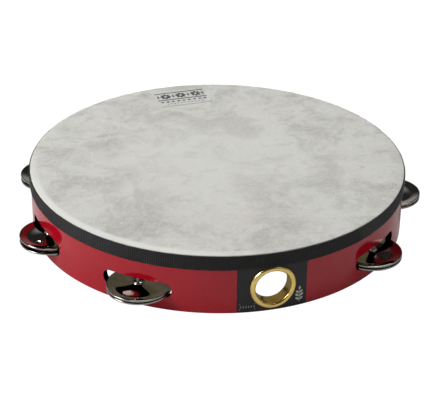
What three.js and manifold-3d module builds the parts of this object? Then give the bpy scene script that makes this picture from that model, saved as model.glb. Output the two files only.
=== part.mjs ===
// A ten-inch tambourine: a shallow hoop with a fixed head, a finger hole and eight pairs of jingles.
// Millimetres, +Z up. It stands on the open rim of its hoop at z = 0, and the finger hole faces -Y.
import * as THREE from 'three';
import { mergeVertices } from 'three/addons/utils/BufferGeometryUtils.js';
import Module from 'manifold-3d';

// Hoop
const HOOP_RADIUS = 127; // outer face of the covering, for a ten-inch hoop
const HOOP_INNER_RADIUS = 121.8;
const COVERING_THICKNESS = 0.9;
const BEARING_EDGE_HEIGHT = 41.2; // top of the hoop, which the head is stretched over
const BEARING_EDGE_ROUND = 1.2;
const FIT_GAP = 0.3; // between two pieces that touch
const HOOP_SEGMENTS = 64;
const SLIVER_SIZE = 0.02; // cuts leave nothing finer than this
const CUT_MARGIN = 4; // how far each cut runs past both faces of the wall

// Head and the band glued round it
const HEAD_TOP = 42.4;
const HEAD_THICKNESS = 0.9;
const HEAD_EDGE_ROUND = 1.2;
const HEAD_COLLAR_BOTTOM = 33.5;
const BAND_BOTTOM = 31.6;
const BAND_TOP = 41.3;
const BAND_THICKNESS = 0.8;

// Jingle slots, spread evenly over the hoop apart from a narrower step beside the finger hole
const JINGLE_PAIRS = 8;
const FIRST_STATION = THREE.MathUtils.degToRad(39.1);
const STATION_STEP = (2 * Math.PI - 2 * FIRST_STATION) / (JINGLE_PAIRS - 1);
const SLOT_LENGTH = 46.8;
const SLOT_BOTTOM = 9.0;
const SLOT_TOP = 19.2;
const SLOT_CORNER = 5.0;
const CORNER_STEPS = 3;

// Jingle pins, driven up through the lower rim, across the slot and into the wall above it
const PIN_CIRCLE_RADIUS = 123.7;
const PIN_RADIUS = 1.0;
const PIN_TOP = 26;
const PIN_HEAD_RADIUS = 1.4;
const PIN_HEAD_BOTTOM = 0.4;
const PIN_HEAD_THICKNESS = 0.8;
const PIN_SEGMENTS = 8;

// Jingles: a spun disc with a pierced boss, a face that falls to a valley, and a rim turned up beyond it
const JINGLE_RADIUS = 20.6;
const JINGLE_THICKNESS = 0.8;
const JINGLE_HOLE_RADIUS = 2.8;
const JINGLE_BOSS_TOP_RADIUS = 3.6;
const JINGLE_BOSS_BASE_RADIUS = 5.0;
const JINGLE_BOSS_HEIGHT = 1.75;
const JINGLE_FACE_RISE = 1.5; // from the valley to the boss
const JINGLE_VALLEY_RADIUS = 14.6;
const JINGLE_RIM_RISE = 0.75; // from the valley to the rim
const JINGLE_PITCH = 1.3; // from the lower jingle of a pair to the upper one nested over it
const JINGLE_SEGMENTS = 24;

// How each pair hangs on its pin: shifted towards the hoop's axis within the play of its hub,
// and how far its two jingles are up from their lowest places
const INWARD_SHIFTS = [1.6, 1.65, 1.5, 1.4, 1.5, 1.65, 1.65, 1.25];
const LOWER_LIFTS = [0, 0, 0, 0, 0, 1.6, 0, 0];
const UPPER_LIFTS = [1.0, 1.35, 0.4, 0.4, 0.4, 2.3, 2.35, 0.7];

// Finger hole: eyelet, backing washer and the label under the eyelet's flange
const HOLE_HEIGHT = 17.6;
const BARREL_INNER_RADIUS = 11.2;
const BARREL_THICKNESS = 0.7;
const BARREL_CLEARANCE_RADIUS = BARREL_INNER_RADIUS + BARREL_THICKNESS + FIT_GAP;
const FLANGE_RADIUS = 15.0;
const FLANGE_PROUD = 1.6;
const FLANGE_RIM = 0.3; // thickness of the flange's edge, under its crown
const CROWN_STEPS = 5;
const LIP_ROUND = 0.5; // eases the barrel into its rolled lip
const ROLLED_LIP_RADIUS = 13.3;
const WASHER_RADIUS = 15.0;
const WASHER_THICKNESS = 0.7;
const EYELET_SEGMENTS = 32;
const LABEL_WIDTH = 45;
const LABEL_THICKNESS = 0.3;
const LABEL_BOTTOM = 0.6;

const wasm = await Module();
wasm.setup();

// A closed geometry as one solid, with its seam and any zero-area triangles taken out.
function solid(geometry) {
  const source = geometry.clone();
  source.deleteAttribute('normal');
  source.deleteAttribute('uv');
  const merged = mergeVertices(source);
  const index = merged.index.array;
  const triangles = [];
  for (let i = 0; i < index.length; i += 3) {
    const [a, b, c] = [index[i], index[i + 1], index[i + 2]];
    if (a !== b && b !== c && c !== a) triangles.push(a, b, c);
  }
  const vertProperties = new Float32Array(merged.attributes.position.array);
  const triVerts = new Uint32Array(triangles);
  return new wasm.Manifold(new wasm.Mesh({ numProp: 3, vertProperties, triVerts }));
}

// The geometry of a cut piece, with the slivers that cutting leaves merged away.
function geometryOf(piece) {
  const { vertProperties, triVerts } = piece.simplify(SLIVER_SIZE).getMesh();
  const geometry = new THREE.BufferGeometry();
  geometry.setAttribute('position', new THREE.BufferAttribute(vertProperties, 3));
  geometry.setIndex(new THREE.BufferAttribute(triVerts, 1));
  return geometry;
}

// Turns a closed outline of [radius, height] points, given anticlockwise, about the Z axis.
function turned(outline, segments) {
  const points = [...outline, outline[0]].map(([radius, z]) => new THREE.Vector2(radius, z));
  return new THREE.LatheGeometry(points, segments).rotateX(Math.PI / 2);
}

function hoopRing(inner, outer, bottom, top) {
  return turned([[inner, bottom], [outer, bottom], [outer, top], [inner, top]], HOOP_SEGMENTS);
}

// Turns a [radius, distance from the hoop's axis] outline about the finger hole's own axis.
function turnedAboutHole(outline) {
  const geometry = turned(outline, EYELET_SEGMENTS);
  return geometry.rotateX(Math.PI / 2).translate(0, 0, HOLE_HEIGHT);
}

// Bends a flat-turned piece so that it lies along the hoop's wall.
function bentToHoop(geometry) {
  const position = geometry.attributes.position;
  for (let i = 0; i < position.count; i++) {
    const x = position.getX(i);
    const sagitta = HOOP_RADIUS - Math.sqrt(HOOP_RADIUS ** 2 - x ** 2);
    position.setY(i, position.getY(i) + sagitta);
  }
  return geometry;
}

// Stations are counted anticlockwise from the finger hole, seen from above.
function stationAngle(pair) {
  return FIRST_STATION + pair * STATION_STEP;
}

function atStation(geometry, pair) {
  return geometry.rotateZ(stationAngle(pair));
}

function slotCutter(pair) {
  const half = SLOT_LENGTH / 2 - SLOT_CORNER;
  const low = SLOT_BOTTOM + SLOT_CORNER;
  const high = SLOT_TOP - SLOT_CORNER;
  const outline = new THREE.Shape();
  outline.absarc(half, low, SLOT_CORNER, -Math.PI / 2, 0);
  outline.absarc(half, high, SLOT_CORNER, 0, Math.PI / 2);
  outline.absarc(-half, high, SLOT_CORNER, Math.PI / 2, Math.PI);
  outline.absarc(-half, low, SLOT_CORNER, Math.PI, 1.5 * Math.PI);
  const depth = HOOP_RADIUS - HOOP_INNER_RADIUS + 2 * CUT_MARGIN;
  const options = { depth, curveSegments: CORNER_STEPS, bevelEnabled: false };
  const cutter = new THREE.ExtrudeGeometry(outline, options).rotateX(Math.PI / 2);
  cutter.translate(0, -HOOP_INNER_RADIUS + CUT_MARGIN, 0);
  return solid(atStation(cutter, pair));
}

// The pin itself with no gap, or the hole it is driven into with one.
function pinOutline(gap) {
  const shank = PIN_RADIUS + gap;
  const head = PIN_HEAD_RADIUS + gap;
  const bottom = gap > 0 ? -CUT_MARGIN : PIN_HEAD_BOTTOM;
  const shoulder = PIN_HEAD_BOTTOM + PIN_HEAD_THICKNESS + gap;
  const top = PIN_TOP + gap;
  return [[0, bottom], [head, bottom], [head, shoulder], [shank, shoulder], [shank, top], [0, top]];
}

function pinGeometry(pair, gap) {
  const pin = turned(pinOutline(gap), PIN_SEGMENTS).translate(0, -PIN_CIRCLE_RADIUS, 0);
  return atStation(pin, pair);
}

function holeCutter(radius) {
  const inside = HOOP_INNER_RADIUS - CUT_MARGIN;
  const outside = HOOP_RADIUS + CUT_MARGIN;
  return solid(turnedAboutHole([[0, inside], [radius, inside], [radius, outside], [0, outside]]));
}

function shellCore() {
  const outer = HOOP_RADIUS - COVERING_THICKNESS - FIT_GAP;
  let core = solid(turned([
    [HOOP_INNER_RADIUS, 0],
    [outer, 0],
    [outer, BEARING_EDGE_HEIGHT - BEARING_EDGE_ROUND],
    [outer - BEARING_EDGE_ROUND, BEARING_EDGE_HEIGHT],
    [HOOP_INNER_RADIUS, BEARING_EDGE_HEIGHT],
  ], HOOP_SEGMENTS));
  for (let pair = 0; pair < JINGLE_PAIRS; pair++) {
    core = core.subtract(slotCutter(pair)).subtract(solid(pinGeometry(pair, FIT_GAP)));
  }
  return geometryOf(core.subtract(holeCutter(BARREL_CLEARANCE_RADIUS)));
}

function shellCovering() {
  const top = HEAD_COLLAR_BOTTOM - FIT_GAP;
  let covering = solid(hoopRing(HOOP_RADIUS - COVERING_THICKNESS, HOOP_RADIUS, FIT_GAP, top));
  for (let pair = 0; pair < JINGLE_PAIRS; pair++) {
    covering = covering.subtract(slotCutter(pair));
  }
  return geometryOf(covering.subtract(holeCutter(BARREL_CLEARANCE_RADIUS)));
}

// The head's flat film, rolled over the bearing edge into a collar.
function drumhead() {
  const inner = HOOP_RADIUS - COVERING_THICKNESS;
  const underside = HEAD_TOP - HEAD_THICKNESS;
  const easing = HEAD_EDGE_ROUND * (1 - Math.SQRT1_2);
  return geometryOf(solid(turned([
    [0, underside],
    [inner - BEARING_EDGE_ROUND, underside],
    [inner, underside - BEARING_EDGE_ROUND],
    [inner, HEAD_COLLAR_BOTTOM],
    [HOOP_RADIUS, HEAD_COLLAR_BOTTOM],
    [HOOP_RADIUS, HEAD_TOP - HEAD_EDGE_ROUND],
    [HOOP_RADIUS - easing, HEAD_TOP - easing],
    [HOOP_RADIUS - HEAD_EDGE_ROUND, HEAD_TOP],
    [0, HEAD_TOP],
  ], HOOP_SEGMENTS)));
}

function trimBand() {
  const inner = HOOP_RADIUS + FIT_GAP;
  const band = solid(hoopRing(inner, inner + BAND_THICKNESS, BAND_BOTTOM, BAND_TOP));
  return geometryOf(band.subtract(holeCutter(FLANGE_RADIUS + FIT_GAP)));
}

function label() {
  const inner = HOOP_RADIUS + FIT_GAP;
  const sheet = solid(hoopRing(inner, inner + LABEL_THICKNESS, LABEL_BOTTOM, BAND_BOTTOM - FIT_GAP));
  const blank = new THREE.BoxGeometry(LABEL_WIDTH, HOOP_RADIUS, 2 * HEAD_TOP);
  blank.translate(0, -HOOP_RADIUS, 0);
  return geometryOf(sheet.intersect(solid(blank)).subtract(holeCutter(BARREL_CLEARANCE_RADIUS)));
}

// The eyelet's barrel lines the hole: a crowned flange outside, a rolled lip inside the washer.
function eyelet() {
  const inner = BARREL_INNER_RADIUS;
  const outer = inner + BARREL_THICKNESS;
  const flangeBack = HOOP_RADIUS + FIT_GAP + LABEL_THICKNESS + FIT_GAP;
  const lipFront = HOOP_INNER_RADIUS - WASHER_THICKNESS - 2 * FIT_GAP;
  const lipBack = lipFront - BARREL_THICKNESS;
  const crownMiddle = (inner + FLANGE_RADIUS) / 2;
  const crownHalfWidth = (FLANGE_RADIUS - inner) / 2;
  const crown = [];
  for (let i = 0; i <= CROWN_STEPS; i++) {
    const turn = (Math.PI * i) / CROWN_STEPS;
    const rise = FLANGE_RIM + Math.sin(turn) * (FLANGE_PROUD - FLANGE_RIM);
    crown.push([crownMiddle + Math.cos(turn) * crownHalfWidth, flangeBack + rise]);
  }
  return bentToHoop(turnedAboutHole([
    [inner + LIP_ROUND, lipBack],
    [ROLLED_LIP_RADIUS, lipBack],
    [ROLLED_LIP_RADIUS, lipFront],
    [outer, lipFront],
    [outer, flangeBack],
    [FLANGE_RADIUS, flangeBack],
    ...crown,
    [inner, lipFront + 2 * LIP_ROUND],
  ]));
}

function eyeletWasher() {
  const hole = BARREL_CLEARANCE_RADIUS;
  const rim = WASHER_RADIUS;
  const front = HOOP_INNER_RADIUS - FIT_GAP;
  const back = front - WASHER_THICKNESS;
  return bentToHoop(turnedAboutHole([[hole, back], [rim, back], [rim, front], [hole, front]]));
}

// A jingle's outline with the underside of its valley at height 0 and its boss on top.
function jingleOutline() {
  const back = [
    [JINGLE_HOLE_RADIUS, JINGLE_FACE_RISE + JINGLE_BOSS_HEIGHT],
    [JINGLE_BOSS_TOP_RADIUS, JINGLE_FACE_RISE + JINGLE_BOSS_HEIGHT],
    [JINGLE_BOSS_BASE_RADIUS, JINGLE_FACE_RISE],
    [JINGLE_VALLEY_RADIUS, 0],
    [JINGLE_RADIUS, JINGLE_RIM_RISE],
  ];
  const face = back.map(([radius, z]) => [radius, z + JINGLE_THICKNESS]);
  return [...back, ...face.reverse()];
}

function jingle(pair, isUpper) {
  const disc = turned(jingleOutline(), JINGLE_SEGMENTS);
  const lift = LOWER_LIFTS[pair] + (isUpper ? JINGLE_PITCH + UPPER_LIFTS[pair] : 0);
  disc.translate(0, INWARD_SHIFTS[pair] - PIN_CIRCLE_RADIUS, SLOT_BOTTOM + FIT_GAP + lift);
  return atStation(disc, pair);
}

const finishes = {
  core: new THREE.MeshStandardMaterial({ color: '#1a1917', roughness: 0.7, metalness: 0 }),
  covering: new THREE.MeshStandardMaterial({ color: '#9c1f26', roughness: 0.2, metalness: 0 }),
  head: new THREE.MeshStandardMaterial({ color: '#c4c3b9', roughness: 0.6, metalness: 0 }),
  band: new THREE.MeshStandardMaterial({ color: '#202022', roughness: 0.85, metalness: 0 }),
  label: new THREE.MeshStandardMaterial({ color: '#2a2a2a', roughness: 0.45, metalness: 0 }),
  brass: new THREE.MeshStandardMaterial({ color: '#bfa050', roughness: 0.25, metalness: 1 }),
  jingleSteel: new THREE.MeshStandardMaterial({ color: '#6f6c62', roughness: 0.12, metalness: 1 }),
  pinSteel: new THREE.MeshStandardMaterial({ color: '#9a9a9a', roughness: 0.3, metalness: 1 }),
};

const tambourine = new THREE.Group();

function add(name, geometry, material) {
  const mesh = new THREE.Mesh(geometry, material);
  mesh.name = name;
  tambourine.add(mesh);
}

add('shell_core', shellCore(), finishes.core);
add('shell_covering', shellCovering(), finishes.covering);
add('drumhead', drumhead(), finishes.head);
add('trim_band', trimBand(), finishes.band);
add('label', label(), finishes.label);
add('eyelet', eyelet(), finishes.brass);
add('eyelet_washer', eyeletWasher(), finishes.brass);
for (let pair = 0; pair < JINGLE_PAIRS; pair++) {
  add(`jingle_pin_${pair + 1}`, pinGeometry(pair, 0), finishes.pinSteel);
  add(`jingle_lower_${pair + 1}`, jingle(pair, false), finishes.jingleSteel);
  add(`jingle_upper_${pair + 1}`, jingle(pair, true), finishes.jingleSteel);
}

// The origin is under the middle of the whole object, a little off the hoop's own axis.
const box = new THREE.Box3().setFromObject(tambourine);
tambourine.position.y = -(box.min.y + box.max.y) / 2;

export default tambourine;
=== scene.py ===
"""A ten-inch tambourine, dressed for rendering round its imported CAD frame. Lengths are in metres."""
import math

import bpy
import numpy as np
from mathutils import Matrix, Vector
from mathutils.geometry import delaunay_2d_cdt


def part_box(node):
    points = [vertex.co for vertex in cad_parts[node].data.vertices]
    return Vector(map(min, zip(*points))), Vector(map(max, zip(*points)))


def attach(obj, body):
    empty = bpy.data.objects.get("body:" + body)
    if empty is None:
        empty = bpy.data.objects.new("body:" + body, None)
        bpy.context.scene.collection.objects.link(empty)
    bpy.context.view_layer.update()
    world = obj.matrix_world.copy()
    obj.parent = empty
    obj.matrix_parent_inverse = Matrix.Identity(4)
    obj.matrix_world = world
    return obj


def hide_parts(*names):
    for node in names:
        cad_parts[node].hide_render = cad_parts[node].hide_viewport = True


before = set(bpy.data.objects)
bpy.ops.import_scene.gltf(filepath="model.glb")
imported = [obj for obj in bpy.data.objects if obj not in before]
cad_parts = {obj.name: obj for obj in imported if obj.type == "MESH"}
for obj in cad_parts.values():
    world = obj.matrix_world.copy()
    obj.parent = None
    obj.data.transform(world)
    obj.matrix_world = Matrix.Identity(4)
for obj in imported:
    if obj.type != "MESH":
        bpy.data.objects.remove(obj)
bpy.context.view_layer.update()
MM = 0.001
TURN = 2 * math.pi
PAIRS = 8

# ---------------------------------------------------------------- what the CAD frame says

COVER_LOW, COVER_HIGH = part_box("shell_covering")
CORE_LOW, CORE_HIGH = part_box("shell_core")
HEAD_LOW, HEAD_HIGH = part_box("drumhead")
BAND_LOW, BAND_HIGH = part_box("trim_band")
LABEL_LOW, LABEL_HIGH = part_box("label")
EYELET_LOW, EYELET_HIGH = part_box("eyelet")
AXIS_Y = (COVER_LOW.y + COVER_HIGH.y) / 2
HOOP_R = (COVER_HIGH.x - COVER_LOW.x) / 2
CORE_R = (CORE_HIGH.x - CORE_LOW.x) / 2
HOLE_Z = (EYELET_LOW.z + EYELET_HIGH.z) / 2
FLANGE_R = (EYELET_HIGH.x - EYELET_LOW.x) / 2
LABEL_HALF = (LABEL_HIGH.x - LABEL_LOW.x) / 2

# Sizes of the same object that no node's box shows.
INNER_R = 121.8 * MM
SLOT_HALF = 23.4 * MM
SLOT_LOW = 9.0 * MM
SLOT_HIGH = 19.2 * MM
SLOT_CORNER = 5.0 * MM
BARREL_R = 11.2 * MM
RIBS = 555


def pin_place(pair):
    """The point on the ground under a pair's pin."""
    low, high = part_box(f"jingle_pin_{pair}")
    return Vector(((low.x + high.x) / 2, (low.y + high.y) / 2, 0))


def angle_of(point):
    """Angle round the hoop from the finger hole, anticlockwise from above."""
    return math.atan2(point.x, AXIS_Y - point.y)


def on_hoop(radius, angle, z):
    return (radius * math.sin(angle), AXIS_Y - radius * math.cos(angle), z)


def outward(angle):
    return np.array((math.sin(angle), -math.cos(angle), 0.0))


STATIONS = [angle_of(pin_place(pair)) for pair in range(1, PAIRS + 1)]

# ---------------------------------------------------------------- camera

VIEW_AZIMUTH = math.radians(-16.1)
VIEW_ELEVATION = math.radians(29.219)
VIEW_DISTANCE = 0.97403
VIEW_YAW = math.radians(-0.1322)
VIEW_PITCH = math.radians(0.5613)
VIEW_ROLL = math.radians(-0.6879)
LENS = 114.18


def make_camera():
    """A long lens that looks down at the hoop's axis from the left of the finger hole."""
    target = Vector((0, AXIS_Y, 0))
    back = Vector(on_hoop(1, VIEW_AZIMUTH, 0)) - target
    back = back * math.cos(VIEW_ELEVATION) + Vector((0, 0, math.sin(VIEW_ELEVATION)))
    forward = -back
    right = forward.cross(Vector((0, 0, 1))).normalized()
    up = right.cross(forward)
    yaw = Matrix.Rotation(VIEW_YAW, 3, up)
    forward, right = yaw @ forward, yaw @ right
    pitch = Matrix.Rotation(VIEW_PITCH, 3, right)
    forward, up = pitch @ forward, pitch @ up
    roll = Matrix.Rotation(VIEW_ROLL, 3, forward)
    right, up = roll @ right, roll @ up
    data = bpy.data.cameras.new("camera")
    data.lens = LENS
    camera = bpy.data.objects.new("camera", data)
    bpy.context.scene.collection.objects.link(camera)
    axes = Matrix((right, up, -forward)).transposed().to_4x4()
    camera.matrix_world = Matrix.Translation(target + back * VIEW_DISTANCE) @ axes
    bpy.context.scene.camera = camera


make_camera()

# ---------------------------------------------------------------- node helpers


def fill(node, **sockets):
    """Sets a node's inputs by name, with an underscore for each space."""
    for name, value in sockets.items():
        node.inputs[name.replace("_", " ")].default_value = value


class Surface:
    """A Principled material and short ways of wiring its procedural detail."""

    def __init__(self, name, **sockets):
        self.material = bpy.data.materials.new(name)
        self.material.use_nodes = True
        self.tree = self.material.node_tree
        self.shader = self.tree.nodes["Principled BSDF"]
        fill(self.shader, **sockets)
        self.place = self.tree.nodes.new("ShaderNodeTexCoord").outputs["Object"]

    def link(self, source, target):
        self.tree.links.new(source, target)

    def node(self, kind, **settings):
        made = self.tree.nodes.new("ShaderNode" + kind)
        for key, value in settings.items():
            setattr(made, key, value)
        return made

    def math(self, operation, *values):
        made = self.node("Math", operation=operation)
        for socket, value in zip(made.inputs, values):
            if isinstance(value, (int, float)):
                socket.default_value = value
            else:
                self.link(value, socket)
        return made.outputs[0]

    def noise(self, scale, detail=4, roughness=0.5, distortion=0, at=None):
        made = self.node("TexNoise")
        fill(made, Scale=scale, Detail=detail, Roughness=roughness, Distortion=distortion)
        self.link(at or self.place, made.inputs["Vector"])
        return made.outputs["Fac"]

    def spread(self, source, low, high, to_low=0.0, to_high=1.0):
        """Maps a socket smoothly from low..high to to_low..to_high."""
        made = self.node("MapRange", interpolation_type="SMOOTHSTEP")
        self.link(source, made.inputs["Value"])
        fill(made, From_Min=low, From_Max=high, To_Min=to_low, To_Max=to_high)
        return made.outputs[0]

    def mix(self, factor, a, b):
        """Colours a and b, each an (r, g, b) or a socket, mixed by a socket."""
        made = self.node("Mix", data_type="RGBA")
        self.link(factor, made.inputs[0])
        for socket, value in ((made.inputs[6], a), (made.inputs[7], b)):
            if isinstance(value, tuple):
                socket.default_value = (*value, 1)
            else:
                self.link(value, socket)
        return made.outputs[2]

    def stretched(self, scale, source=None):
        made = self.node("Mapping")
        made.inputs["Scale"].default_value = scale
        self.link(source or self.place, made.inputs["Vector"])
        return made.outputs[0]

    def parts(self, source):
        made = self.node("SeparateXYZ")
        self.link(source, made.inputs[0])
        return made.outputs

    def joined(self, *values):
        made = self.node("CombineXYZ")
        for socket, value in zip(made.inputs, values):
            self.link(value, socket)
        return made.outputs[0]

    def reach(self, x, y):
        """Distance from (0, 0) of the point (x, y)."""
        return self.math("SQRT", self.math("ADD", self.math("POWER", x, 2.0), self.math("POWER", y, 2.0)))

    def around_hoop(self):
        """(length round the hoop, distance from its axis, height) of the shaded point."""
        x, y, z = self.parts(self.place)
        y = self.math("SUBTRACT", y, AXIS_Y)
        angle = self.math("ARCTAN2", x, y)
        return self.joined(self.math("MULTIPLY", angle, HOOP_R), self.reach(x, y), z)

    def bump(self, height, strength, distance):
        made = self.node("Bump")
        fill(made, Strength=strength, Distance=distance)
        self.link(height, made.inputs["Height"])
        self.link(made.outputs[0], self.shader.inputs["Normal"])

    def colour(self, source):
        self.link(source, self.shader.inputs["Base Color"])

    def rough(self, source):
        self.link(source, self.shader.inputs["Roughness"])


def red_laminate():
    s = Surface("red_laminate", Specular_IOR_Level=0.42, Coat_Weight=0.12, Coat_Roughness=0.03)
    clouds = s.noise(38, 5, 0.6)
    s.colour(s.mix(s.spread(clouds, 0.35, 0.65), (0.398, 0.0012, 0.0110), (0.428, 0.0018, 0.0130)))
    s.rough(s.spread(s.noise(210, 4), 0.3, 0.7, 0.05, 0.11))
    s.bump(s.noise(420, 2), 0.02, 0.0003)
    return s.material


def stained_wood():
    s = Surface("black_stained_wood", Roughness=0.5, Specular_IOR_Level=0.4)
    at = s.around_hoop()
    grain = s.noise(1, 6, 0.6, 0.4, s.stretched((60, 900, 900), at))
    s.colour(s.mix(s.spread(grain, 0.35, 0.7), (0.050, 0.043, 0.038), (0.110, 0.092, 0.076)))
    s.rough(s.spread(grain, 0.3, 0.7, 0.42, 0.62))
    s.bump(grain, 0.25, 0.00025)
    return s.material


def fibre_film():
    """Mottled film: clouds, dark patches and pale strands, with painted light: paler in the middle and along
    one side's edge.
    """
    s = Surface("fibre_film", Specular_IOR_Level=0.35, Subsurface_Weight=0.85, Subsurface_Scale=0.0012,
                Subsurface_Radius=(1.0, 0.9, 0.7))
    clouds = s.spread(s.noise(25, 6, 0.60, 0.8), 0.43, 0.64)
    patches = s.spread(s.noise(54, 6, 0.62, 1.3, s.stretched((1.0, 1.25, 1))), 0.48, 0.70)
    strands = s.noise(62, 8, 0.66, 2.6)
    lines = s.math("ABSOLUTE", s.math("SUBTRACT", strands, 0.5))
    lines = s.spread(lines, 0.0, 0.035, 1.0, 0.0)
    grain = s.noise(900, 3, 0.6)
    tone = s.mix(clouds, (0.612, 0.607, 0.570), (0.450, 0.447, 0.412))
    tone = s.mix(s.math("MULTIPLY", patches, 0.48), tone, (0.345, 0.342, 0.305))
    warm = s.spread(s.noise(15, 3, 0.5, 0.5, s.stretched((1, 1, 3))), 0.5, 0.72, 0.0, 0.45)
    tone = s.mix(warm, tone, (0.560, 0.535, 0.480))
    tone = s.mix(s.math("MULTIPLY", lines, 0.42), tone, (0.735, 0.732, 0.715))
    tone = s.mix(s.spread(grain, 0.35, 0.65, 0.0, 0.16), tone, (0.44, 0.44, 0.42))
    _, from_axis, _ = s.parts(s.around_hoop())
    x, y, _ = s.parts(s.place)
    # Painted highlight: a paler arc along the film's edge on one side only, where light falls on the rim.
    side = s.math("ADD", s.math("MULTIPLY", x, -0.80), s.math("MULTIPLY", y, -0.60))
    edge = s.math("MULTIPLY", s.spread(from_axis, 0.1212, 0.1240), s.spread(side, 0.050, 0.120, 0.0, 0.95))
    tone = s.mix(edge, tone, (0.705, 0.700, 0.665))
    # Painted light: the film is painted paler towards its middle.
    tone = s.mix(s.spread(from_axis, 0.02, 0.105, 0.40, 0.0), tone, (0.660, 0.660, 0.625))
    s.colour(tone)
    s.rough(s.spread(grain, 0.3, 0.7, 0.50, 0.66))
    s.bump(s.math("ADD", s.math("MULTIPLY", lines, 0.5), grain), 0.10, 0.00015)
    return s.material


def woven_tape():
    s = Surface("woven_tape", Roughness=0.46, Specular_IOR_Level=0.40)
    at = s.around_hoop()
    weft = s.node("TexWave", wave_type="BANDS", bands_direction="Z", wave_profile="SIN")
    fill(weft, Scale=620, Distortion=1.2, Detail=2)
    s.link(at, weft.inputs["Vector"])
    fuzz = s.noise(1500, 3, 0.6)
    worn = s.spread(s.noise(90, 3), 0.35, 0.7)
    tone = s.mix(worn, (0.0040, 0.0040, 0.0042), (0.0072, 0.0072, 0.0075))
    tone = s.mix(s.math("MULTIPLY", weft.outputs["Fac"], 0.35), tone, (0.024, 0.024, 0.025))
    length, _, _ = s.parts(at)
    # Painted shade: the grooves between the ribs are painted near black, the rib tops keep the tape's tone.
    rib_shade_wave = s.math("COSINE", s.math("MULTIPLY", length, RIBS / HOOP_R))
    s.colour(s.mix(s.spread(rib_shade_wave, -0.7, 0.7), (0.0008, 0.0008, 0.0010), tone))
    s.bump(s.math("ADD", weft.outputs["Fac"], fuzz), 0.7, 0.00018)
    return s.material


def foil_label():
    s = Surface("black_label", Specular_IOR_Level=0.38)
    fine = s.noise(700, 3)
    s.colour(s.mix(s.spread(fine, 0.3, 0.7), (0.0105, 0.0105, 0.0108), (0.0130, 0.0130, 0.0133)))
    s.rough(s.spread(s.noise(160, 3), 0.3, 0.7, 0.34, 0.46))
    s.bump(fine, 0.05, 0.0001)
    return s.material


def plated(name, tone, shade, rough_low, rough_high, scale):
    """A polished plating with faint smears and hairline scratches."""
    s = Surface(name, Metallic=1.0)
    smears = s.noise(scale, 5, 0.6, 0.8)
    scratches = s.noise(1, 3, 0.5, 0.2, s.stretched((500, 6000, 2500)))
    s.colour(s.mix(s.spread(smears, 0.42, 0.72), tone, shade))
    wear = s.math("MULTIPLY", s.math("ADD", smears, scratches), 0.5)
    s.rough(s.spread(wear, 0.35, 0.65, rough_low, rough_high))
    s.bump(scratches, 0.02, 0.00003)
    return s.material


def turned_nickel():
    """Dark bright nickel with the fine rings that spinning a jingle leaves."""
    s = Surface("dark_nickel", Metallic=1.0)
    x, y, _ = s.parts(s.place)
    rings = s.noise(2600, 3, 0.7, 0, s.joined(s.reach(x, y)))
    smears = s.noise(95, 5, 0.6, 0.7)
    s.colour(s.mix(s.spread(smears, 0.40, 0.75), (0.440, 0.425, 0.395), (0.350, 0.335, 0.305)))
    s.rough(s.spread(s.math("MULTIPLY", s.math("ADD", smears, rings), 0.5), 0.35, 0.65, 0.045, 0.13))
    s.bump(rings, 0.03, 0.00005)
    return s.material


def printing_ink(name, tone):
    s = Surface(name, Roughness=0.6)
    patchy = s.noise(1200, 3, 0.6)
    s.colour(s.mix(s.spread(patchy, 0.35, 0.7), tone, tuple(c * 0.8 + 0.02 for c in tone)))
    return s.material


RED = red_laminate()
WOOD = stained_wood()
FILM = fibre_film()
TAPE = woven_tape()
LABEL = foil_label()
BRASS = plated("bright_brass", (0.900, 0.665, 0.215), (0.830, 0.590, 0.180), 0.17, 0.26, 90)
PIN_STEEL = plated("drawn_steel", (0.62, 0.61, 0.59), (0.48, 0.47, 0.45), 0.14, 0.30, 300)
NICKEL = turned_nickel()
DARK_INK = printing_ink("dark_ink", (0.012, 0.012, 0.014))
PALE_INK = printing_ink("pale_ink", (0.62, 0.62, 0.60))
GREY_INK = printing_ink("grey_ink", (0.240, 0.240, 0.235))

# ---------------------------------------------------------------- mesh helpers


def make_piece(name, points, faces, material, normals=None):
    mesh = bpy.data.meshes.new(name)
    mesh.from_pydata([tuple(p) for p in points], [], faces)
    mesh.validate()
    mesh.polygons.foreach_set("use_smooth", [True] * len(mesh.polygons))
    mesh.materials.append(material)
    if normals is not None:
        mesh.normals_split_custom_set_from_vertices([tuple(n) for n in normals])
    mesh.update()
    piece = bpy.data.objects.new(name, mesh)
    bpy.context.scene.collection.objects.link(piece)
    return piece


def settle(piece, body, slot, *nodes):
    """The piece rides on a body and stands for CAD nodes; the slot is not used."""
    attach(piece, body)
    if nodes:
        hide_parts(*nodes)


def lattice_faces(columns, count):
    """Quads over a closed outline of so many points that stands in so many columns round a ring."""
    faces = []
    for j in range(columns):
        k = (j + 1) % columns
        for i in range(count):
            n = (i + 1) % count
            faces.append((j * count + i, k * count + i, k * count + n, j * count + n))
    return faces


def turned_points(outline, segments, wobble=None):
    """Points and faces of a closed outline of (radius, height) turned about Z."""
    points = []
    for j in range(segments):
        angle = TURN * j / segments
        for radius, z in outline:
            rise = wobble(radius, angle) if wobble else 0
            points.append((radius * math.cos(angle), radius * math.sin(angle), z + rise))
    return points, lattice_faces(segments, len(outline))


def rounded(outline, steps=5):
    """An outline of (radius, height, corner radius) points with its corners rounded."""
    made = []
    count = len(outline)
    for i, (x, y, ease) in enumerate(outline):
        here = Vector((x, y))
        before = Vector(outline[i - 1][:2])
        after = Vector(outline[(i + 1) % count][:2])
        if ease <= 0:
            made.append((x, y))
            continue
        into = (here - before).normalized()
        out = (after - here).normalized()
        turn = into.angle(out)
        reach = min(ease * math.tan(turn / 2), (here - before).length * 0.49, (after - here).length * 0.49)
        start, end = here - into * reach, here + out * reach
        for k in range(steps + 1):
            t = k / steps
            made.append(tuple(start * (1 - t) ** 2 + here * (2 * t * (1 - t)) + end * t ** 2))
    return made


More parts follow.
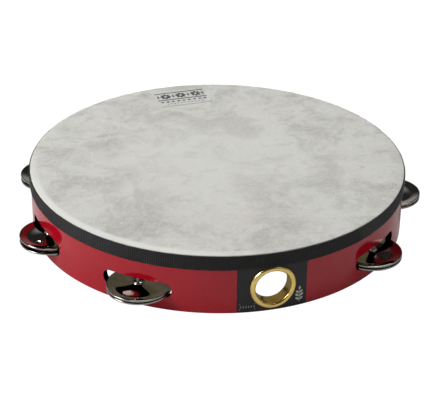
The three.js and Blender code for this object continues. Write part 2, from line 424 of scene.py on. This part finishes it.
class Shape:
    """A closed loop in a wall's own plane: x along the wall and z up, seen from outside the hoop.
    loop(grow) gives [(x, z, outward x, outward z)] anticlockwise, grown by that much."""

    def __init__(self, centre_angle, half_x, low, high, corner, step=1.6 * MM, corner_steps=10):
        self.angle = centre_angle
        self.half, self.low, self.high, self.corner = half_x, low, high, corner
        self.step, self.corner_steps = step, corner_steps

    def loop(self, grow=0.0):
        corner = self.corner
        hx, hz = self.half - corner, (self.high - self.low) / 2 - corner
        middle = (self.high + self.low) / 2
        made = []
        for quarter, (sx, sz) in enumerate(((1, -1), (1, 1), (-1, 1), (-1, -1))):
            first = -math.pi / 2 + quarter * math.pi / 2
            for k in range(self.corner_steps + 1):
                turn = first + k / self.corner_steps * math.pi / 2
                nx, nz = math.cos(turn), math.sin(turn)
                made.append((sx * hx + (corner + grow) * nx, middle + sz * hz + (corner + grow) * nz, nx, nz))
            last = made[-1]
            length = 2 * (hz if quarter % 2 == 0 else hx)
            cuts = int(length / self.step)
            for k in range(1, cuts):
                x, z, nx, nz = last
                shift = length * k / cuts
                made.append((x - nz * shift, z + nx * shift, nx, nz))
        keep = [made[0]]
        for point in made[1:]:
            if math.hypot(point[0] - keep[-1][0], point[1] - keep[-1][1]) > 1e-7:
                keep.append(point)
        return keep

    def holds(self, x, z, grow=0.0):
        hx, hz = self.half - self.corner, (self.high - self.low) / 2 - self.corner
        dx = max(abs(x) - hx, 0)
        dz = max(abs(z - (self.high + self.low) / 2) - hz, 0)
        return math.hypot(dx, dz) < self.corner + grow

    def wrap(self, x, radius):
        """Angle round the hoop of a point at x on a wall of that radius."""
        return self.angle + math.asin(x / radius)


def unwrap(angle):
    return (angle + math.pi) % TURN - math.pi


class Mesher:
    """Collects points once each, with a normal for every point."""

    def __init__(self):
        self.points, self.normals, self.faces, self.found = [], [], [], {}

    def point(self, radius, angle, z, normal):
        angle = unwrap(angle)
        if abs(abs(angle) - math.pi) < 1e-6:
            angle = math.pi
        key = (round(radius * 1e7), round(angle * 1e6), round(z * 1e7))
        if key not in self.found:
            self.found[key] = len(self.points)
            self.points.append(on_hoop(radius, angle, z))
            self.normals.append(normal / np.linalg.norm(normal))
        return self.found[key]

    def face(self, corners, flip=False):
        corners = [c for i, c in enumerate(corners) if c != corners[i - 1]]
        if len(corners) >= 3:
            self.faces.append(tuple(reversed(corners)) if flip else tuple(corners))

    def strip(self, first, second, flip=False):
        for i in range(len(first)):
            j = (i + 1) % len(first)
            self.face((first[i], first[j], second[j], second[i]), flip)


def wall_face(mesher, radius, low, high, shapes, grow, facing, grid=1.9 * MM, rim=None, columns=420):
    """Fills one curved face of a wall round its openings: a whole ring, or the plate inside an outline."""
    flat, edges = [], []

    def put(x, z):
        flat.append(Vector((x * 1000, z * 1000)))
        return len(flat) - 1

    for shape in shapes:
        loop = [(radius * shape.wrap(x, radius), z) for x, z, _, _ in shape.loop(grow)]
        ids = [put(x, z) for x, z in loop]
        edges += [(ids[i], ids[(i + 1) % len(ids)]) for i in range(len(ids))]
    rows = max(2, round((high - low) / grid))
    if rim is None:
        left, right = -math.pi * radius, math.pi * radius
        for row in range(rows + 1):
            z = low + (high - low) * row / rows
            for column in range(columns + 1):
                x = left + (right - left) * column / columns
                if 0 < row < rows and any(near(shape, x, z, radius, grow) for shape in shapes):
                    continue
                put(x, z)
    else:
        loop = [(radius * rim.wrap(x, radius), z) for x, z, _, _ in rim.loop(-grow)]
        ids = [put(x, z) for x, z in loop]
        edges += [(ids[i], ids[(i + 1) % len(ids)]) for i in range(len(ids))]
        across = max(2, round(2 * rim.half / grid))
        for row in range(1, rows):
            z = rim.low + (rim.high - rim.low) * row / rows
            for column in range(1, across):
                x = rim.half * (2 * column / across - 1)
                flat_x = radius * rim.wrap(x, radius)
                clear = not any(near(shape, flat_x, z, radius, grow) for shape in shapes)
                if clear and rim.holds(x, z, -grow - 0.5 * MM):
                    put(flat_x, z)
    found, _, triangles, _, _, _ = delaunay_2d_cdt(flat, edges, [], 0, 1e-6)
    ids = []
    for v in found:
        angle = v.x / 1000 / radius
        ids.append(mesher.point(radius, angle, v.y / 1000, facing * outward(angle)))
    for triangle in triangles:
        x = sum(found[i].x for i in triangle) / 3000
        z = sum(found[i].y for i in triangle) / 3000
        if any(inside(shape, x, z, radius, grow) for shape in shapes):
            continue
        if rim is not None and not inside(rim, x, z, radius, -grow):
            continue
        mesher.face([ids[i] for i in triangle], facing < 0)


def local_x(shape, x, radius):
    turn = unwrap(x / radius - shape.angle)
    return radius * math.sin(turn) if abs(turn) < 0.8 else 1.0


def near(shape, x, z, radius, grow):
    return shape.holds(local_x(shape, x, radius), z, grow + 0.6 * MM)


def inside(shape, x, z, radius, grow):
    return shape.holds(local_x(shape, x, radius), z, grow)


def eased_profile(outer, inner, ease, steps):
    """(radius, inset, radial, sideways) from a wall's outer face to its inner one, with both edges eased."""
    layers = []
    for k in range(steps + 1):
        t = k / steps * math.pi / 2
        layers.append((outer - ease * (1 - math.cos(t)), ease * (1 - math.sin(t)), math.cos(t), math.sin(t)))
    for k in range(steps + 1):
        t = (1 - k / steps) * math.pi / 2
        layers.append((inner + ease * (1 - math.cos(t)), ease * (1 - math.sin(t)), -math.cos(t), math.sin(t)))
    return layers


def opening_sides(mesher, shape, outer, inner, ease, outside=False, steps=4):
    """The cut faces round an opening (or a plate's edge), with both of its edges eased."""
    sign = 1 if outside else -1
    along = np.array((math.cos(shape.angle), math.sin(shape.angle), 0.0))
    rings = []
    for radius, inset, radial, sideways in eased_profile(outer, inner, ease, steps):
        ring = []
        for x, z, nx, nz in shape.loop(-sign * inset):
            across = sign * (nx * along + nz * np.array((0, 0, 1.0)))
            normal = radial * outward(shape.wrap(x, radius)) + sideways * across
            ring.append(mesher.point(radius, shape.wrap(x, radius), z, normal))
        rings.append(ring)
    for first, second in zip(rings, rings[1:]):
        mesher.strip(first, second, not outside)


def rim_sides(mesher, outer, inner, z, ease, up, columns=420, steps=4):
    """The top or bottom of a whole ring wall, with both of its edges eased."""
    way = 1 if up else -1
    rings = []
    for radius, inset, radial, upright in eased_profile(outer, inner, ease, steps):
        ring = []
        for column in range(columns):
            angle = -math.pi + TURN * column / columns
            normal = radial * outward(angle) + upright * np.array((0, 0, float(way)))
            ring.append(mesher.point(radius, angle, z - way * inset, normal))
        rings.append(ring)
    for first, second in zip(rings, rings[1:]):
        mesher.strip(first, second, not up)


def pierced_ring(name, outer, inner, low, high, ease, shapes, material):
    mesher = Mesher()
    wall_face(mesher, outer, low + ease, high - ease, shapes, ease, 1)
    wall_face(mesher, inner, low + ease, high - ease, shapes, ease, -1)
    for shape in shapes:
        opening_sides(mesher, shape, outer, inner, ease)
    rim_sides(mesher, outer, inner, high, ease, True)
    rim_sides(mesher, outer, inner, low, ease, False)
    return make_piece(name, mesher.points, mesher.faces, material, mesher.normals)


def bent_plate(name, outer, inner, rim, shapes, ease, material):
    """A thin plate lying round the hoop, such as a label."""
    mesher = Mesher()
    for radius, facing in ((outer, 1), (inner, -1)):
        wall_face(mesher, radius, rim.low, rim.high, shapes, ease, facing, rim=rim)
    for shape in shapes:
        opening_sides(mesher, shape, outer, inner, ease, steps=2)
    opening_sides(mesher, rim, outer, inner, ease, outside=True, steps=2)
    return make_piece(name, mesher.points, mesher.faces, material, mesher.normals)


# ---------------------------------------------------------------- the hoop

BORE_R = BARREL_R + 0.9 * MM
SLOTS = [Shape(angle, SLOT_HALF, SLOT_LOW, SLOT_HIGH, SLOT_CORNER) for angle in STATIONS]
EYELET_BORE = Shape(0.0, BORE_R, HOLE_Z - BORE_R, HOLE_Z + BORE_R, BORE_R, corner_steps=14)

covering = pierced_ring("red_covering", HOOP_R, CORE_R + 0.03 * MM, COVER_LOW.z, COVER_HIGH.z, 0.22 * MM,
                        SLOTS + [EYELET_BORE], RED)
settle(covering, "shell", "shell_covering", "shell_covering")

core = pierced_ring("hoop_core", CORE_R, INNER_R, 0.0, CORE_HIGH.z, 0.5 * MM, SLOTS + [EYELET_BORE], WOOD)
settle(core, "shell", "hoop_core", "shell_core")

# ---------------------------------------------------------------- the head

FILM_THICKNESS = 0.4 * MM
FILM_FLAT_R = 121.0 * MM
FILM_FALL = 0.58 * MM
FLAT_RINGS = (4, 12, 24, 36, 48, 60, 72, 84, 95, 105, 113, 118, 121)
FALLING_RINGS = (122, 123, 124, 125, 125.8, 126.4, 126.8)


def film_height(radius):
    """Height of the film's upper face: flat, then falling away over the bearing edge."""
    share = max(0.0, (radius - FILM_FLAT_R) / (HOOP_R - FILM_FLAT_R))
    return HEAD_HIGH.z - FILM_FALL * share ** 2.1


def make_head():
    """The film and its collar as one closed skin: an outer profile, an inner one and two centre points."""
    segments = 360
    edge = film_height(HOOP_R)
    under = HEAD_HIGH.z - FILM_THICKNESS
    collar = HOOP_R - FILM_THICKNESS
    outside = [(r * MM, film_height(r * MM)) for r in FLAT_RINGS + FALLING_RINGS]
    outside += [(HOOP_R - 0.05 * MM, edge - 0.02 * MM), (HOOP_R, edge - 0.25 * MM), (HOOP_R, edge - 1.2 * MM)]
    outside += [(HOOP_R, HEAD_LOW.z + 0.1 * MM), (HOOP_R - 0.1 * MM, HEAD_LOW.z)]
    back = [(collar, HEAD_LOW.z), (collar, edge - 1.6 * MM), (collar - 0.5 * MM, edge - 0.9 * MM)]
    back += [(r * MM, under) for r in (121, 80, 40, 4)]
    profile = outside + back
    count = len(profile)
    points = []
    for j in range(segments):
        points += [on_hoop(radius, TURN * j / segments, z) for radius, z in profile]
    points += [(0, AXIS_Y, HEAD_HIGH.z), (0, AXIS_Y, under)]
    top, bottom = len(points) - 2, len(points) - 1
    faces = []
    for j in range(segments):
        k = (j + 1) % segments
        for i in range(count - 1):
            faces.append((j * count + i, j * count + i + 1, k * count + i + 1, k * count + i))
        faces.append((top, j * count, k * count))
        faces.append((bottom, k * count + count - 1, j * count + count - 1))
    return make_piece("fibre_head", points, faces, FILM)


settle(make_head(), "shell", "drumhead", "drumhead")

# ---------------------------------------------------------------- the woven tape

RIB_STEPS = (0.0, 0.7, 1.0, 0.7)
RIB_HEIGHT = 0.30 * MM


def tape_swell(angle, z):
    """Where the tape rides up over the eyelet's flange."""
    across = HOOP_R * unwrap(angle) / (9.5 * MM)
    upward = (z - BAND_LOW.z) / (3.2 * MM)
    return 1.05 * MM * math.exp(-across ** 4) * math.exp(-upward ** 2)


def make_tape():
    """A ribbed band with rounded edges, whose top edge is slightly uneven from rib to rib."""
    low, high = BAND_LOW.z, BAND_HIGH.z
    inner = HOOP_R + 0.04 * MM
    outer = (BAND_HIGH.x - BAND_LOW.x) / 2 - RIB_HEIGHT - 0.15 * MM
    columns = RIBS * len(RIB_STEPS)
    shares = (0.0, 0.04, 0.12, 0.25, 0.4, 0.55, 0.7, 0.84, 0.93, 0.975, 1.0)
    frays = np.random.default_rng(3).uniform(0.0, 0.34, RIBS) * MM
    points = []
    for j in range(columns):
        angle = TURN * j / columns
        rib = RIB_STEPS[j % len(RIB_STEPS)]
        fray = frays[j // len(RIB_STEPS)]
        stitch = math.sin(angle * 37) * 0.05 * MM + math.sin(angle * 91 + 1.3) * 0.035 * MM
        for share in shares:
            z = low + (high - low) * share
            fade = 1 - max(0.0, abs(share - 0.5) * 2 - 0.86) / 0.14 * 0.8
            radius = outer + rib * RIB_HEIGHT * fade - (0.12 * MM if share in (0.0, 1.0) else 0)
            lift = 0
            if share > 0.9:
                lift = rib * (0.08 * MM + fray) + stitch
            elif share < 0.05:
                lift = stitch * 0.6
            points.append(on_hoop(radius + tape_swell(angle, z), angle, z + lift))
        for share in (1.0, 0.5, 0.0):
            z = low + (high - low) * share
            lift = stitch if share == 1.0 else 0
            points.append(on_hoop(inner + tape_swell(angle, z), angle, z + lift))
    faces = lattice_faces(columns, len(shares) + 3)
    return make_piece("woven_trim", points, faces, TAPE)


settle(make_tape(), "shell", "trim_band", "trim_band")

# ---------------------------------------------------------------- label and printing

LABEL_SHAPE = Shape(0.0, LABEL_HALF, LABEL_LOW.z + 0.2 * MM, BAND_LOW.z + 1.0 * MM, 0.6 * MM, corner_steps=4)
LABEL_OUTER = HOOP_R + 0.22 * MM
LABEL_INNER = HOOP_R + 0.02 * MM
sticker = bent_plate("black_label", LABEL_OUTER, LABEL_INNER, LABEL_SHAPE, [EYELET_BORE], 0.06 * MM, LABEL)
settle(sticker, "shell", "label", "label")

HEAD_MARK_ANGLE = math.radians(1.9)
HEAD_MARK = Vector((2.4 * MM, AXIS_Y + 103.0 * MM, 0))
INK_PROUD = 0.030 * MM
INK_SUNK = -0.05 * MM


def on_head(x, y, lift):
    turned = Matrix.Rotation(HEAD_MARK_ANGLE, 3, "Z") @ Vector((x, y, 0))
    return (HEAD_MARK.x + turned.x, HEAD_MARK.y + turned.y, HEAD_HIGH.z + lift)


def on_label(x, z, lift):
    return on_hoop(LABEL_OUTER + lift, math.asin(x / LABEL_OUTER), z)


def printed(name, outlines, place, material, slot):
    """Closed slips of ink: each outline (in millimetres) is a prism from under a surface to over it."""
    points, faces = [], []
    for outline in outlines:
        area = sum(a[0] * b[1] - b[0] * a[1] for a, b in zip(outline, outline[1:] + outline[:1]))
        outline = outline if area > 0 else outline[::-1]
        first, n = len(points), len(outline)
        for lift in (INK_PROUD, INK_SUNK):
            points += [place(x * MM, y * MM, lift) for x, y in outline]
        faces.append(tuple(range(first, first + n)))
        faces.append(tuple(range(first + 2 * n - 1, first + n - 1, -1)))
        for i in range(n):
            j = (i + 1) % n
            faces.append((first + j, first + i, first + n + i, first + n + j))
    piece = make_piece(name, points, faces, material)
    piece.data.polygons.foreach_set("use_smooth", [False] * len(piece.data.polygons))
    settle(piece, "shell", slot)


def diamond(x, y, half_x, half_y):
    return [(x - half_x, y), (x, y - half_y), (x + half_x, y), (x, y + half_y)]


def bar(x0, x1, y, half):
    return [(x0, y - half), (x1, y - half), (x1, y + half), (x0, y + half)]


def leaf(x, y, length, width, degrees):
    """One leaf from its foot at (x, y), leaning by that many degrees from upright."""
    lean = math.radians(degrees)
    made = []
    for i in range(12):
        share = 1 - abs(i / 6 - 1)
        along = length * share
        side = math.sin(math.pi * share) * width * (1 if i < 6 else -1)
        made.append((x + along * math.sin(lean) + side * math.cos(lean),
                     y + along * math.cos(lean) - side * math.sin(lean)))
    return made


def rosette(x, y, petals=8, heart=0.9, length=3.6, width=0.95):
    """Petals standing round a bare heart."""
    made = []
    for k in range(petals):
        turn = TURN * k / petals
        foot = (x + heart * math.cos(turn), y + heart * math.sin(turn))
        made.append(leaf(*foot, length, width, 90 - math.degrees(turn)))
    return made


def head_ornament():
    """A row of rosettes between two bars, over two rows of diamonds and a thin rule."""
    outlines = []
    for x in (-11.6, 0, 11.6):
        outlines += rosette(x, 6.2)
    outlines += [diamond(x, 6.2, 0.8, 2.9) for x in (-17.3, -5.8, 5.8, 17.3)]
    outlines += [bar(-18.8, 18.8, y, 0.55) for y in (12.1, 0.4)]
    outlines += [diamond(4.1 * k, -3.1, 1.55, 1.15) for k in range(-4, 5)]
    outlines += [diamond(2.6 * k, -6.9, 0.75, 0.6) for k in range(-5, 6)]
    return outlines + [bar(-19.5, 19.5, -10.8, 0.22)]


def label_sprig(x=17.7, stem=0.25, lean=52):
    """A stem with three pairs of leaves and one on top."""
    outlines = [leaf(x, 11.6, 2.9, 0.75, 8)]
    for height, length in ((4.6, 2.9), (7.1, 3.3), (9.6, 2.7)):
        outlines += [leaf(x - stem, height, length, 0.78, -lean), leaf(x + stem, height, length, 0.78, lean)]
    return outlines + [[(x - 0.22, 3.2), (x + 0.22, 3.2), (x + 0.15, 11.6), (x - 0.15, 11.6)]]


def label_border():
    """Six diamonds between two rules."""
    rules = [bar(-21.2, -10.8, height, 0.24) for height in (6.5, 2.7)]
    return rules + [diamond(-20.2 + 1.68 * k, 4.6, 0.5, 1.0) for k in range(6)]


printed("head_ornament", head_ornament(), on_head, DARK_INK, "drumhead")
printed("label_sprig", label_sprig(), on_label, PALE_INK, "label")
printed("label_border", label_border(), on_label, GREY_INK, "label")

# ---------------------------------------------------------------- the finger hole

CROWN_R = 13.2 * MM
CROWN_INSIDE = 1.85 * MM
BARREL_WALL = 0.65 * MM
LIP_R = 12.25 * MM
LIP_HALF = 1.05 * MM
LIP_RISE = 0.9 * MM
LIP_EDGE_R = 13.3 * MM
WASHER_R = 15.0 * MM
WASHER_BORE_R = 12.2 * MM
WASHER_GAUGE = 0.7 * MM


def turned_in_hole(name, outline, material, segments=128):
    """Turns a closed outline of (radius, distance from the hoop's axis) about the hole, bent to the hoop."""
    points = []
    for j in range(segments):
        turn = TURN * j / segments
        for radius, out in outline:
            x = radius * math.cos(turn)
            sagitta = HOOP_R - math.sqrt(HOOP_R ** 2 - x * x)
            points.append((x, AXIS_Y - out + sagitta, HOLE_Z + radius * math.sin(turn)))
    faces = [(a, d, c, b) for a, b, c, d in lattice_faces(segments, len(outline))]
    return make_piece(name, points, faces, material)


def make_eyelet():
    """A crowned flange outside, a barrel that flares into it, and a lip rolled over the washer inside."""
    back = HOOP_R + 0.24 * MM
    crown_foot = back + 0.15 * MM
    front = AXIS_Y - EYELET_LOW.y
    lip_back = INNER_R - 2.0 * MM
    outline = []
    for k in range(15):
        t = math.pi * k / 14
        outer_half = k <= 7
        reach = FLANGE_R - CROWN_R if outer_half else CROWN_INSIDE
        swell = 1.0 if outer_half else 0.82
        out = crown_foot + math.sin(t) ** swell * (front - crown_foot)
        outline.append((CROWN_R + math.cos(t) * reach, out))
    for flare, depth in ((0.35, 0.3), (0.1, 1.4), (0, 2.6)):
        outline.append((BARREL_R + flare * MM, HOOP_R - depth * MM))
    outline.append((BARREL_R, INNER_R - 0.6 * MM))
    for k in range(8):
        t = math.pi * k / 7
        outline.append((LIP_R - math.cos(t) * LIP_HALF, lip_back + LIP_RISE * (1 - math.sin(t))))
    outline += [(LIP_EDGE_R, INNER_R - 0.75 * MM), (BARREL_R + BARREL_WALL, INNER_R - 0.6 * MM),
                (BARREL_R + BARREL_WALL, back - 0.1 * MM), (FLANGE_R - 0.3 * MM, back)]
    return turned_in_hole("brass_eyelet", outline[::-1], BRASS)


def make_washer():
    front = INNER_R - 0.03 * MM
    back = front - WASHER_GAUGE
    outline = [(WASHER_BORE_R, back, 0.2 * MM), (WASHER_R, back, 0.35 * MM),
               (WASHER_R, front, 0.05 * MM), (WASHER_BORE_R, front, 0.05 * MM)]
    return turned_in_hole("brass_washer", rounded(outline, 4), BRASS)


settle(make_eyelet(), "shell", "eyelet_brass", "eyelet")
settle(make_washer(), "shell", "eyelet_brass", "eyelet_washer")

# ---------------------------------------------------------------- jingles and pins

JINGLE_R = 20.6 * MM
JINGLE_GAUGE = 0.5
HUB = [(2.85, 3.14), (2.90, 3.36), (3.06, 3.48), (3.26, 3.46), (3.42, 3.30), (3.56, 3.00), (3.70, 2.70),
       (3.92, 2.48)]
CONE = [(4.30, 2.33), (4.90, 2.16), (5.40, 2.04), (6.00, 1.89), (7.00, 1.65), (8.00, 1.43), (9.00, 1.23),
        (10.0, 1.05), (11.0, 0.89), (12.0, 0.75), (13.0, 0.64)]
VALLEY = [(13.8, 0.58), (14.6, 0.55), (15.3, 0.575), (16.0, 0.66)]
RIM = [(17.0, 0.85), (18.0, 1.07), (19.0, 1.31), (19.6, 1.47), (20.0, 1.57), (20.3, 1.56), (20.5, 1.42),
       (20.6, 1.18), (20.6, 0.78), (20.55, 0.54), (20.42, 0.43), (20.28, 0.42)]
JINGLE_FACE = HUB + CONE + VALLEY + RIM


def jingle_outline():
    """The face from hub to rolled edge, in millimetres, then the back at the sheet's gauge below it."""
    back = [(2.85, 2.90)]
    for i, (r, z) in enumerate(JINGLE_FACE):
        if not 3.5 < r < 19.5:
            continue
        before, after = JINGLE_FACE[i - 1], JINGLE_FACE[i + 1]
        slope = Vector((after[0] - before[0], after[1] - before[1])).normalized()
        back.append((r + slope.y * JINGLE_GAUGE, z - slope.x * JINGLE_GAUGE))
    back += [(19.80, 0.92), (20.02, 0.74), (20.14, 0.50)]
    return [(r * MM, z * MM) for r, z in JINGLE_FACE + back[::-1]]


def make_jingle(pair, is_upper, chance):
    kind = "upper" if is_upper else "lower"
    low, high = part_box(f"jingle_{kind}_{pair}")
    waves = [(chance.uniform(0.01, 0.03) * MM, lobes, chance.uniform(0, TURN)) for lobes in (2, 3, 5)]

    def wobble(radius, angle):
        share = (radius / JINGLE_R) ** 2
        return share * sum(size * math.sin(lobes * angle + phase) for size, lobes, phase in waves)

    points, faces = turned_points(jingle_outline(), 144, wobble)
    piece = make_piece(f"{kind}_jingle_{pair}", points, [f[::-1] for f in faces], NICKEL)
    piece.location = ((low.x + high.x) / 2, (low.y + high.y) / 2, low.z)
    settle(piece, f"{kind}_jingle_{pair}", "jingle_metal", f"jingle_{kind}_{pair}")


def make_pin(pair):
    """A shank through the slot with a small rounded head at its foot and a point at its top."""
    low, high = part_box(f"jingle_pin_{pair}")
    shank, cap, tip = 1.0 * MM, 1.4 * MM, 0.12 * MM
    foot = [(tip, 0.12), (0.6 * MM, 0.06), (1.15 * MM, 0.02), (cap - 0.08 * MM, 0.10), (cap, 0.35),
            (cap - 0.05 * MM, 0.68), (shank + 0.12 * MM, 0.80), (shank, 0.95)]
    outline = [(radius, low.z + rise * MM) for radius, rise in foot]
    outline += [(shank, SLOT_LOW), (shank, 12 * MM), (shank, SLOT_HIGH), (shank, high.z - 1.6 * MM),
                (shank * 0.7, high.z - 0.7 * MM), (tip, high.z)]
    points, faces = turned_points(outline, 32)
    piece = make_piece(f"steel_pin_{pair}", points, [f[::-1] for f in faces], PIN_STEEL)
    piece.location = pin_place(pair)
    settle(piece, "shell", "pin_steel", f"jingle_pin_{pair}")


CHANCE = np.random.default_rng(7)
for pair in range(1, PAIRS + 1):
    make_pin(pair)
    for is_upper in (False, True):
        make_jingle(pair, is_upper, CHANCE)

# ---------------------------------------------------------------- floor, world and lights

WHITE = (1, 1, 1, 1)
BACKDROP = 1.05


def make_floor():
    """A pale grey floor that the camera sees as plain white, and that can be looked through from below."""
    mesh = bpy.data.meshes.new("floor")
    half = 4.0
    corners = [(-half, -half, 0), (half, -half, 0), (half, half, 0), (-half, half, 0)]
    mesh.from_pydata(corners, [], [(0, 1, 2, 3)])
    floor = bpy.data.objects.new("floor", mesh)
    floor.location.z = -0.0002
    bpy.context.scene.collection.objects.link(floor)
    s = Surface("pale_floor", Roughness=0.9, Base_Color=(0.50, 0.50, 0.50, 1), Emission_Color=WHITE,
                Emission_Strength=0.13)
    white = s.node("Emission")
    fill(white, Strength=BACKDROP)
    clear = s.node("BsdfTransparent")
    seen, under = s.node("LightPath"), s.node("NewGeometry")
    first, second = s.node("MixShader"), s.node("MixShader")
    s.link(seen.outputs["Is Camera Ray"], first.inputs[0])
    s.link(s.shader.outputs[0], first.inputs[1])
    s.link(white.outputs[0], first.inputs[2])
    s.link(under.outputs["Backfacing"], second.inputs[0])
    s.link(first.outputs[0], second.inputs[1])
    s.link(clear.outputs[0], second.inputs[2])
    s.link(second.outputs[0], s.tree.nodes["Material Output"].inputs["Surface"])
    mesh.materials.append(s.material)


def make_world():
    """A studio that is light near the ground and dim overhead, and plain white to the camera."""
    world = bpy.data.worlds.new("studio")
    world.use_nodes = True
    tree = world.node_tree
    backdrop = tree.nodes["Background"]
    fill(backdrop, Color=(1.0, 0.98, 0.94, 1))
    way = tree.nodes.new("ShaderNodeTexCoord")
    parts = tree.nodes.new("ShaderNodeSeparateXYZ")
    glow = tree.nodes.new("ShaderNodeMapRange")
    glow.interpolation_type = "SMOOTHSTEP"
    fill(glow, From_Min=0.26, From_Max=0.50, To_Min=0.42, To_Max=0.03)
    tree.links.new(way.outputs["Generated"], parts.inputs[0])
    tree.links.new(parts.outputs["Z"], glow.inputs["Value"])
    tree.links.new(glow.outputs[0], backdrop.inputs["Strength"])
    white = tree.nodes.new("ShaderNodeBackground")
    fill(white, Color=WHITE, Strength=BACKDROP)
    seen = tree.nodes.new("ShaderNodeLightPath")
    both = tree.nodes.new("ShaderNodeMixShader")
    tree.links.new(seen.outputs["Is Camera Ray"], both.inputs[0])
    tree.links.new(backdrop.outputs[0], both.inputs[1])
    tree.links.new(white.outputs[0], both.inputs[2])
    tree.links.new(both.outputs[0], tree.nodes["World Output"].inputs["Surface"])
    bpy.context.scene.world = world


def make_light(name, azimuth, elevation, distance, size, power):
    """A square lamp aimed at the head. Its azimuth is from the camera's own, positive to the right."""
    data = bpy.data.lights.new(name, "AREA")
    data.shape = "SQUARE"
    data.size = size
    data.energy = power
    light = bpy.data.objects.new(name, data)
    bpy.context.scene.collection.objects.link(light)
    rise = math.radians(elevation)
    turn = VIEW_AZIMUTH + math.radians(azimuth)
    spot = Vector(on_hoop(math.cos(rise) * distance, turn, math.sin(rise) * distance))
    light.location = spot
    light.rotation_mode = "QUATERNION"
    light.rotation_quaternion = (spot - Vector((0, AXIS_Y, 0.03))).to_track_quat("Z", "Y")


make_floor()
make_world()
make_light("key", -70, 34, 1.5, 0.68, 15.6)
make_light("overhead", 150, 72, 1.5, 1.0, 13.6)
make_light("spark_left", -156.6, 42.1, 1.483, 0.040, 0.075)
make_light("spark_right", 156.9, 42.1, 1.483, 0.040, 0.075)
make_light("fill", 65, 40, 1.7, 0.8, 0.8)
bpy.context.scene.view_settings.view_transform = "Standard"
